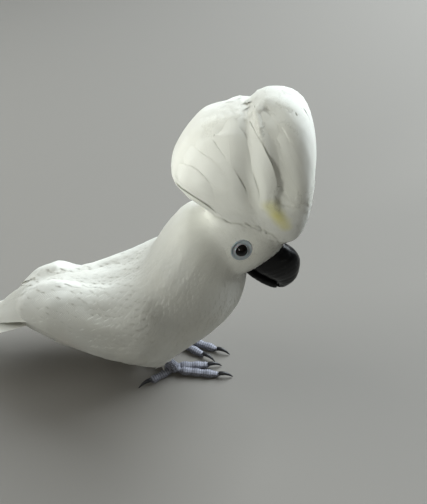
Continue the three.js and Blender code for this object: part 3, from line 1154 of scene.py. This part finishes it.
# bill, in the head's own plan: rows of the back's x and z, the belly's x and z, half the width,
# and how far up the section is widest
bill = {
    "upper": [
        [30, 2, 8, -27, 11.5, 0.4],
        [43, -2, 20, -33, 12, 0.4],
        [51, -8, 31, -36, 11, 0.42],
        [55.5, -18, 41, -39, 8.2, 0.45],
        [57, -30, 46, -42.5, 5.6, 0.5],
        [53, -43.5, 45.2, -46.4, 2.6, 0.5],
    ],
    "lower": [
        [10, -27, 9, -35, 8.5, 0.5],
        [22, -31, 22, -40.5, 9.5, 0.5],
        [33, -34, 35, -45, 8.5, 0.5],
        [41, -37.5, 44.5, -46, 6.5, 0.5],
        [43.5, -39.5, 46, -43.5, 4.6, 0.5],
    ],
    "ripple": 0.10,     # height of the growth lines
    "nostril": 0.9,
    "nostrilPlace": (0.55, 0.62),      # in rows from the bill's base, and radians off its back
    "roundness": {"upper": 0.06, "lower": 0.12},
}


def sectionSpot(run, place, angle):
    backX, backZ, bellyX, bellyZ, half, widest = run(place)
    up = Vector((backX - bellyX, 0, backZ - bellyZ))
    height = up.length
    up.normalize()
    middle = Vector((bellyX, 0, bellyZ)) + up * widest * height
    rise = sin(angle)
    spot = middle + up * signed(rise, 0.92) * height * ((1 - widest) if rise > 0 else widest)
    spot.y = signed(cos(angle), 0.92) * half
    return middle, spot


def billShape(half):
    run = runThrough(bill[half])
    last = len(bill[half]) - 1
    row, off = bill["nostrilPlace"]

    def rounded(share):
        return sqrt(1 - (1 - min(share / bill["roundness"][half], 1)) ** 2)

    def place(share, angle):
        middle, spot = sectionSpot(run, share * last, angle)
        wave = sin(share * 46 + 1.6 * sin(angle * 2)) * sin(share * 17 + 1)
        out = (spot - middle).normalized()
        spot = spot + out * bill["ripple"] * wave
        for side in (-1, 1) if half == "upper" else ():
            dent = ((share * last - row) / 0.16) ** 2 + ((angle - pi / 2 - side * off) / 0.16) ** 2
            spot = spot - out * bill["nostril"] * exp(-dent)
        return inHead(*middle.lerp(spot, rounded(share) * rounded(1 - share)))
    return ballShape(72, 64, place)


def hornPaint(tree, coords):
    turned = {"Vector": coords, "Rotation": (0, radians(-40), 0), "Scale": (1, 2.4, 3.2)}
    along = makeNode(tree, "Mapping", turned)["Vector"]
    streaks = textureNode(tree, "Noise", along, Scale=120, Detail=6, Distortion=0.8)["Fac"]
    fine = textureNode(tree, "Noise", coords, Scale=900, Detail=3)["Fac"]
    dust = mapNode(tree, streaks, 0.6, 0.86)
    colour = mixNode(tree, dust, (0.0022, 0.0022, 0.0024), (0.06, 0.06, 0.065))
    rough = mathNode(tree, "ADD", mathNode(tree, "MULTIPLY", dust, 0.35), 0.28)
    height = mathNode(tree, "ADD", streaks, mathNode(tree, "MULTIPLY", fine, 0.4))
    return {"Base Color": colour, "Roughness": rough}, height


hornFinish = makeFinish("horn", hornPaint, 0.25, 0.6, Specular_IOR_Level=0.2)
for half in ("upper", "lower"):
    addPiece("bill_horn_" + half, billShape(half), hornFinish, "bill", "bill_" + half)
report("bill")

# eyes, and the bare rings and lids round them
eye = {
    "radius": 6.2,
    "cornea": 0.4,
    "tilt": radians(15),    # how far each eye looks up
    "pupil": 2.4,
    "iris": 4.6,
    "flatness": 1.18,    # how much taller than wide the opening is
    "around": 80,
    # radius, and height over the lid's edge or the skin
    "profile": [(4.9, -1.8), (4.6, -0.5), (4.56, 0.0), (4.7, 0.36), (5.0, 0.46), (5.3, 0.3), (5.55, 0.04),
                (5.8, 0.2), (6.05, 0.24), (6.3, 0.03), (6.6, 0.24), (6.85, 0.04), (7.15, 0.24), (7.45, 0.1),
                (7.8, 0.16), (8.2, -0.15), (8.8, -0.9), (8.5, -2.0), (6.4, -2.4)],
}


def makeEye(name, side):
    turn = headPlace.to_3x3()
    ahead = turn @ Vector((1, 0, 0))
    outward = turn @ Vector((0, side * cos(eye["tilt"]), sin(eye["tilt"])))
    above = turn @ Vector((0, -side * sin(eye["tilt"]), cos(eye["tilt"])))
    centre = inHead(-eyeBack, side * eyeDepth, 0)

    def ballSpot(share, angle):
        distance = sin(share * pi) * eye["radius"]
        height = cos(share * pi) * eye["radius"]
        if height > 0:
            height += eye["cornea"] * max(0, 1 - (distance / 3.4) ** 2)
        lateral = ahead * cos(angle) + above * sin(angle)
        return centre + (lateral * distance + outward * height) * mm

    addPiece("eyeball_" + name, ballShape(64, 48, ballSpot), eyeFinish, "eye", "eye_" + name)

    def lidSpot(radius, height, angle):
        lateral = (ahead * cos(angle) + above * sin(angle) * eye["flatness"]) * radius * mm
        hit = skinTree.ray_cast(centre + lateral + outward * 0.03, -outward)[0]
        onSkin = (hit - centre).dot(outward) / mm + 0.35 if hit else 3.0
        reach = radius * hypot(cos(angle), sin(angle) * eye["flatness"])
        lidEdge = sqrt(max(4, eye["radius"] ** 2 - min(reach, 5.6) ** 2)) + 0.1
        level = lidEdge + (onSkin - lidEdge) * ease(radius, 5.0, 7.8)
        crinkle = 0.10 * sin(angle * 7 + radius * 1.7) * ease(radius, 5.2, 6.2) * (height > -0.1)
        return centre + lateral + outward * (level + height + crinkle) * mm

    angles = [2 * pi * i / eye["around"] for i in range(eye["around"])]
    rings = [[lidSpot(radius, height, angle) for angle in angles] for radius, height in eye["profile"]]
    addPiece("eyelids_" + name, wovenShape(rings), ringFinish, "bare_skin", "eye_ring_" + name)


def eyePaint(tree, coords):
    away = vectorNode(tree, "SUBTRACT", coords, inHead(-eyeBack, 0, 0))
    radius = vectorNode(tree, "LENGTH", vectorNode(tree, "MULTIPLY", away, (1, 0, 1)))
    fleck = textureNode(tree, "Noise", coords, Scale=1400, Detail=3)["Fac"]
    iris = mixNode(tree, fleck, (0.003, 0.0022, 0.002), (0.007, 0.004, 0.003))
    edge = mapNode(tree, radius, (eye["iris"] - 0.6) * mm, eye["iris"] * mm)
    colour = mixNode(tree, edge, iris, (0.006, 0.005, 0.005))
    inner = mapNode(tree, radius, (eye["pupil"] + 0.2) * mm, eye["pupil"] * mm)
    return {"Base Color": mixNode(tree, inner, colour, (0.002, 0.002, 0.002))}, None


def ringPaint(tree, coords):
    mottle = textureNode(tree, "Noise", coords, Scale=420, Detail=5)["Fac"]
    pores = textureNode(tree, "Voronoi", coords, Scale=1500)["Distance"]
    return {"Base Color": mixNode(tree, mottle, (0.26, 0.29, 0.31), (0.42, 0.46, 0.49))}, pores


eyeFinish = makeFinish("eye", eyePaint, Roughness=0.16, Coat_Weight=0.1, Coat_Roughness=0.03,
                       Specular_IOR_Level=0.12)
ringFinish = makeFinish("bareSkin", ringPaint, 0.12, 0.6, Roughness=0.55, Subsurface_Weight=0.2,
                        Subsurface_Scale=0.002)
for name, side in sides.items():
    makeEye(name, side)
report("eyes and lids")

# feet: the pad's place, and each toe's heading in degrees, length and start to the left of the
# pad's middle
feet = {
    "right": {"pad": (0, -21), "toes": [(160, 14, 0), (9, 35, 3.2), (1, 46, -2.5), (-142, 27, 0)]},
    "left": {"pad": (-2, 16.5), "toes": [(176, 14, 0), (-25, 34, -3), (-16, 44, 3.5), (118, 28, 0)]},
}
foot = {
    "voxel": 0.5 * mm,
    "scute": 2.3,         # length of a plate along a toe's back
    "scuteHeight": 0.30,
    "scale": 1.5,         # width of a small scale
    "scaleHeight": 0.20,
    "joint": 11.5,
    "jointHeight": 0.35,
    "sunk": 0.25,         # how far the skin lies inside the CAD's
}
# claws: how far past the toe's end, how high, and the radius
clawRows = [
    (-1.5, 4.6, 2.3), (2.5, 5.4, 2.25), (5.9, 5.3, 1.8), (8.6, 4.3, 1.35), (11, 2.7, 0.85), (13, 0.9, 0.35),
]


def toeAhead(plan, toe, distance, z):
    heading, _, offset = toe
    angle = radians(heading)
    x = distance * cos(angle) - offset * sin(angle)
    y = distance * sin(angle) + offset * cos(angle)
    return Vector((plan["pad"][0] + x, plan["pad"][1] + y, z))


def scaled(spot, normal, axes):
    # how far the skin of the foot stands out here, and how deep in a crease it is, which sets the painted
    # shade in the creases
    flat = Vector((spot.x, spot.y))
    best = None
    for start, end in axes:
        line = end - start
        share = (flat - start).dot(line) / line.length_squared
        gap = (flat - start - line * max(0, min(1, share))).length
        if best is None or gap < best[0]:
            best = (gap, share * line.length)
    gap, along = best
    onToe = ease(along, 3, 8) * (1 - ease(spot.z, 8, 11))
    step = (along / foot["scute"]) % 1
    plate = foot["scuteHeight"] * (step ** 0.6 - ease(step, 0.82, 1.0))
    plateCrease = 1 - ease(min(step, 1 - step), 0.0, 0.2)
    near, far = noise.voronoi(spot / foot["scale"])[0][:2]
    scaleCrease = 1 - ease(far - near, 0.0, 0.28)
    onTop = onToe * ease(normal.z, 0.25, 0.6)
    height = onTop * plate - (1 - onTop) * foot["scaleHeight"] * scaleCrease
    height += foot["jointHeight"] * onToe * cos(along / foot["joint"] * 2 * pi)
    return height, onTop * plateCrease + (1 - onTop) * scaleCrease


def makeFoot(name, plan):
    axes = []
    for toe in plan["toes"]:
        start, end = toeAhead(plan, toe, 0, 0), toeAhead(plan, toe, toe[1], 0)
        axes.append((Vector((start.x, start.y)), Vector((end.x, end.y))))
    nodes = [f"shank_{name}"] + [f"toe_{name}_{i + 1}" for i in range(4)]
    bm = melted(nodes, foot["voxel"], 8, swell=0.3 * mm)
    creaseShades = []
    for v in bm.verts:
        height, creaseShade = scaled(inPlan(v.co), v.normal, axes)
        creaseShades.append(creaseShade)
        v.co = v.co + v.normal * (height - foot["sunk"]) * mm
        v.co.z = max(v.co.z, 0)
    mesh = asMesh(bm, "foot_" + name)
    # how deep in a crease each spot is, kept for the painted shade in the creases
    mesh.attributes.new("creaseShade", "FLOAT", "POINT").data.foreach_set("value", creaseShades)
    addPiece("foot_" + name, mesh, footFinish, "foot_skin", *nodes)
    report(f"foot_{name}: {len(mesh.polygons) * 2} triangles")
    for i, toe in enumerate(plan["toes"]):
        rows = [(*toeAhead(plan, toe, toe[1] + reach, z), radius) for reach, z, radius in clawRows]
        addPiece(f"claw_horn_{name}_{i + 1}", clawShape(rows), clawFinish, "claw", f"claw_{name}_{i + 1}")


def clawShape(rows):
    run = runThrough(rows)
    last = len(rows) - 1

    def spotAt(place):
        return Vector(run(max(0, min(last, place)))[:3])

    def place(share, angle):
        here = share * last
        heading = (spotAt(here + 0.1) - spotAt(here - 0.1)).normalized()
        side = Vector((-heading.y, heading.x, 0)).normalized()
        up = heading.cross(side)
        # rounded off over its first and last twelfth
        rounded = sqrt(max(0, 1 - (1 - min(share, 1 - share, 0.08) / 0.08) ** 2))
        out = (side * cos(angle) * 0.86 + up * sin(angle)) * float(run(here)[3]) * rounded
        return at(*(spotAt(here) + out))
    return ballShape(20, 22, place)


def footPaint(tree, coords):
    # painted shade: the skin is painted near black along the creases between its scales
    creaseShade = attributeNode(tree, "creaseShade")["Fac"]
    mottle = textureNode(tree, "Noise", coords, Scale=300, Detail=5)["Fac"]
    raised = mixNode(tree, mottle, (0.17, 0.175, 0.21), (0.44, 0.45, 0.53))
    fine = textureNode(tree, "Voronoi", coords, Scale=1600)["Distance"]
    return {"Base Color": mixNode(tree, creaseShade, raised, (0.045, 0.045, 0.055))}, fine


def clawPaint(tree, coords):
    streaks = textureNode(tree, "Noise", coords, Scale=350, Detail=4, Distortion=1.5)["Fac"]
    return {"Base Color": mixNode(tree, streaks, (0.010, 0.010, 0.012), (0.05, 0.05, 0.055))}, streaks


footFinish = makeFinish("footSkin", footPaint, 0.15, Roughness=0.62)
clawFinish = makeFinish("claw", clawPaint, 0.12, Roughness=0.35)
for name, plan in feet.items():
    makeFoot(name, plan)
report("feet")

# floor and light
floorPlan = {"size": 6.0, "colour": (0.25, 0.236, 0.216)}
lamps = [
    # name, kind, place and aim in the plan in millimetres, size in metres, watts, colour
    ("window", "AREA", (1500, 1400, 1900), (0, 0, 100), 2.2, 148, (0.88, 0.955, 1.0)),
    ("side", "AREA", (-1250, 60, 760), (0, 0, 100), 0.9, 10.5, (0.97, 1.0, 0.97)),
    ("fill", "AREA", (0, -1500, 1300), (0, 0, 100), 1.6, 3, (1.0, 0.98, 0.86)),
    # lights the crest from behind, on the near side
    ("crestLamp", "SPOT", (-390, -430, 460), (22, -22, 250), 0.06, 12.5, (0.97, 1.0, 0.95)),
]
crestLampAngle = 18
sky = {"Color": (1.0, 0.985, 0.94, 1), "Strength": 0.05}


def makeFloor():
    bm = bmesh.new()
    bmesh.ops.create_grid(bm, x_segments=1, y_segments=1, size=floorPlan["size"] / 2)
    floor = addObject("floor", asMesh(bm, "floor"))
    floor.data.materials.append(newMaterial("floor", Base_Color=floorPlan["colour"], Roughness=0.9)[0])


def makeLights():
    for name, kind, spot, aim, size, watts, colour in lamps:
        data = bpy.data.lights.new(name, kind)
        data.energy = watts
        data.color = colour
        if kind == "AREA":
            data.size = size
        else:
            data.shadow_soft_size = size
            data.spot_size = radians(crestLampAngle)
            data.spot_blend = 1.0
        lamp = addObject(name, data)
        lamp.location = at(*spot)
        lamp.rotation_euler = (at(*aim) - lamp.location).to_track_quat("-Z", "Y").to_euler()
    world = bpy.data.worlds.new("studio")
    world.use_nodes = True
    for label, value in sky.items():
        world.node_tree.nodes["Background"].inputs[label].default_value = value
    bpy.context.scene.world = world
    bpy.context.scene.view_settings.view_transform = "Standard"


makeFloor()
makeLights()
report("floor and lights")

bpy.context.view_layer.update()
report("sizes written")
